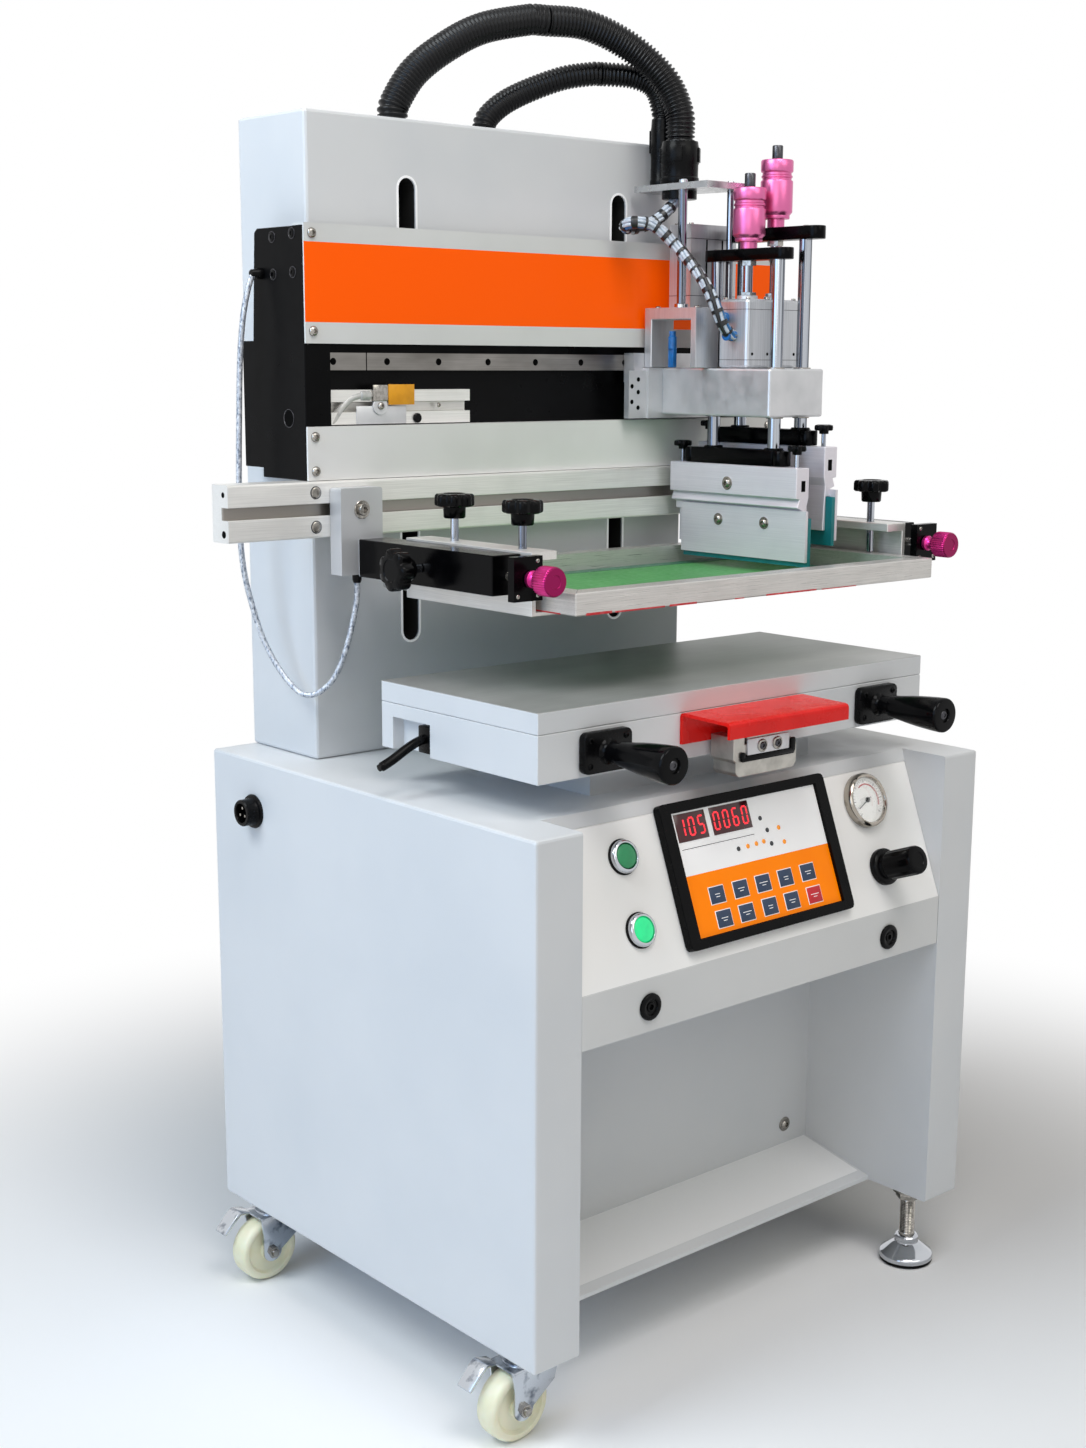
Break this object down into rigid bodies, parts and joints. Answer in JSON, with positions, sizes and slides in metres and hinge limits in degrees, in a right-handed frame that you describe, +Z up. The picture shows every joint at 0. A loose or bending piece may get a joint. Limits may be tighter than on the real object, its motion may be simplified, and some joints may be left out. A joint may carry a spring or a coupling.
{
  "type": "screen printing machine",
  "caption": "Flat screen printing machine: steel cabinet with sloped control panel, sliding table, column with a lifting head, travelling squeegee carriage and clamped screen.",
  "frame": {"origin": "middle of the footprint box at floor level, cords left out", "axes": "+Z up, +X to the operator's right, -Y towards the operator"},
  "size_m": [0.729, 0.5376, 1.2811],
  "materials": {
    "white_coat": "fine orange-peel powder coat",
    "orange_cover": "powder coat with an orange band",
    "black_anodised": "satin black anodised",
    "brushed_aluminium": "brushed",
    "table_grey": "dark brushed",
    "red_paint": "gloss",
    "black_plastic": "moulded",
    "magenta_anodised": "magenta anodised, knurled",
    "chrome": "polished",
    "zinc": "zinc plated",
    "cream_nylon": "moulded nylon",
    "green_mesh": "fine polyester mesh",
    "teal_rubber": "smooth",
    "green_plastic": "moulded",
    "display_black": "moulded frame with a printed face",
    "hose_black": "corrugated",
    "braid_silver": "braided sleeve",
    "wrap_clear": "clear spiral wrap"
  },
  "bodies": {
    "machine_frame": {"cabinet_body": "white_coat", "console_panel": "white_coat", "column_housing": "white_coat", "display_unit": "display_black", "vacuum_gauge": "chrome", "regulator_body": "black_plastic", "front_levelling_foot": "chrome", "rear_levelling_foot": "chrome", "main_hose_rear": "hose_black", "second_hose_rear": "hose_black"},
    "table": {"table_plate": "table_grey", "table_apron": "white_coat", "left_table_handle": "black_plastic", "right_table_handle": "black_plastic", "guard_bracket": "red_paint", "latch_block": "zinc", "table_lock_lever": "black_plastic"},
    "print_head": {"head_left_end_plate": "black_anodised", "head_right_end_plate": "black_anodised", "upper_cover": "orange_cover", "lower_cover": "white_coat", "head_back_plate": "black_anodised", "support_beam": "brushed_aluminium", "left_screen_arm": "black_anodised", "right_screen_arm": "black_anodised", "left_clamp_rail": "brushed_aluminium", "right_clamp_rail": "brushed_aluminium", "screen_frame": "brushed_aluminium", "screen_mesh": "green_mesh", "air_tube": "braid_silver", "main_hose_front": "hose_black", "second_hose_front": "hose_black"},
    "carriage": {"carriage_block": "brushed_aluminium", "cylinder_bracket": "brushed_aluminium", "lift_cylinders": "brushed_aluminium", "hose_stand": "brushed_aluminium", "cable_bundle": "wrap_clear"},
    "squeegee": {"squeegee_yoke": "black_anodised", "squeegee_holder": "brushed_aluminium", "squeegee_blade": "teal_rubber"},
    "flood_bar": {"flood_yoke": "black_anodised", "flood_holder": "brushed_aluminium", "flood_blade": "teal_rubber"},
    "squeegee_stroke_knob_body": {"squeegee_stroke_knob": "magenta_anodised"},
    "flood_stroke_knob_body": {"flood_stroke_knob": "magenta_anodised"},
    "start_button_body": {"start_button": "green_plastic"},
    "power_button_body": {"power_button": "green_plastic"},
    "regulator_knob_body": {"regulator_knob": "black_plastic"},
    "left_front_star_knob_body": {"left_front_star_knob": "black_plastic"},
    "left_rear_star_knob_body": {"left_rear_star_knob": "black_plastic"},
    "right_front_star_knob_body": {"right_front_star_knob": "black_plastic"},
    "right_rear_star_knob_body": {"right_rear_star_knob": "black_plastic"},
    "arm_side_knob_body": {"arm_side_knob": "black_plastic"},
    "left_adjuster_knob_body": {"left_adjuster_knob": "magenta_anodised"},
    "right_adjuster_knob_body": {"right_adjuster_knob": "magenta_anodised"},
    "front_caster_fork_body": {"front_caster_fork": "zinc"},
    "rear_caster_fork_body": {"rear_caster_fork": "zinc"},
    "front_caster_wheel_body": {"front_caster_wheel": "cream_nylon"},
    "rear_caster_wheel_body": {"rear_caster_wheel": "cream_nylon"}
  },
  "joints": [
    {"name": "table_slide", "type": "slide", "parent": "machine_frame", "child": "table", "axis": [0, 1, 0], "range_m": [0, 0.045]},
    {"name": "head_lift", "type": "slide", "parent": "machine_frame", "child": "print_head", "axis": [0, 0, 1], "range_m": [-0.045, 0.06]},
    {"name": "carriage_travel", "type": "slide", "parent": "print_head", "child": "carriage", "axis": [1, 0, 0], "range_m": [-0.32, 0]},
    {"name": "squeegee_lift", "type": "slide", "parent": "carriage", "child": "squeegee", "axis": [0, 0, 1], "range_m": [0, 0.018]},
    {"name": "flood_lift", "type": "slide", "parent": "carriage", "child": "flood_bar", "axis": [0, 0, 1], "range_m": [-0.02, 0]},
    {"name": "squeegee_stroke_turn", "type": "hinge", "parent": "squeegee", "child": "squeegee_stroke_knob_body", "pos_m": [0.1865, 0.0168, 1.05], "axis": [0, 0, 1], "range_deg": [-180, 180]},
    {"name": "flood_stroke_turn", "type": "hinge", "parent": "flood_bar", "child": "flood_stroke_knob_body", "pos_m": [0.226, 0.0168, 1.07], "axis": [0, 0, 1], "range_deg": [-180, 180]},
    {"name": "start_button_press", "type": "slide", "parent": "machine_frame", "child": "start_button_body", "axis": [0, 0.9345, -0.3561], "range_m": [0, 0.003], "stiffness_N_per_m": 400},
    {"name": "power_button_press", "type": "slide", "parent": "machine_frame", "child": "power_button_body", "axis": [0, 0.9345, -0.3561], "range_m": [0, 0.003], "stiffness_N_per_m": 400},
    {"name": "regulator_turn", "type": "hinge", "parent": "machine_frame", "child": "regulator_knob_body", "pos_m": [0.1559, -0.22078, 0.45398], "axis": [0, -0.9345, 0.3561], "range_deg": [-720, 720]},
    {"name": "left_front_star_turn", "type": "hinge", "parent": "print_head", "child": "left_front_star_knob_body", "pos_m": [-0.1865, -0.0722, 0.8], "axis": [0, 0, 1], "range_deg": [-180, 180]},
    {"name": "left_rear_star_turn", "type": "hinge", "parent": "print_head", "child": "left_rear_star_knob_body", "pos_m": [-0.1865, 0.0243, 0.8], "axis": [0, 0, 1], "range_deg": [-180, 180]},
    {"name": "left_adjuster_turn", "type": "hinge", "parent": "print_head", "child": "left_adjuster_knob_body", "pos_m": [-0.218, -0.1197, 0.7495], "axis": [0, 1, 0], "range_deg": [-180, 180]},
    {"name": "right_front_star_turn", "type": "hinge", "parent": "print_head", "child": "right_front_star_knob_body", "pos_m": [0.2855, -0.0722, 0.8], "axis": [0, 0, 1], "range_deg": [-180, 180]},
    {"name": "right_rear_star_turn", "type": "hinge", "parent": "print_head", "child": "right_rear_star_knob_body", "pos_m": [0.2855, 0.0243, 0.8], "axis": [0, 0, 1], "range_deg": [-180, 180]},
    {"name": "right_adjuster_turn", "type": "hinge", "parent": "print_head", "child": "right_adjuster_knob_body", "pos_m": [0.317, -0.1197, 0.7495], "axis": [0, 1, 0], "range_deg": [-180, 180]},
    {"name": "arm_side_turn", "type": "hinge", "parent": "print_head", "child": "arm_side_knob_body", "pos_m": [-0.236, 0.0103, 0.749], "axis": [1, 0, 0], "range_deg": [-180, 180]},
    {"name": "front_caster_swivel", "type": "hinge", "parent": "machine_frame", "child": "front_caster_fork_body", "pos_m": [-0.2685, -0.1757, 0.07], "axis": [0, 0, 1], "continuous": true},
    {"name": "front_caster_roll", "type": "hinge", "parent": "front_caster_fork_body", "child": "front_caster_wheel_body", "pos_m": [-0.2845, -0.1757, 0.0325], "axis": [0, 1, 0], "continuous": true},
    {"name": "rear_caster_swivel", "type": "hinge", "parent": "machine_frame", "child": "rear_caster_fork_body", "pos_m": [-0.2685, 0.2243, 0.07], "axis": [0, 0, 1], "continuous": true},
    {"name": "rear_caster_roll", "type": "hinge", "parent": "rear_caster_fork_body", "child": "rear_caster_wheel_body", "pos_m": [-0.2845, 0.2243, 0.0325], "axis": [0, 1, 0], "continuous": true}
  ]
}
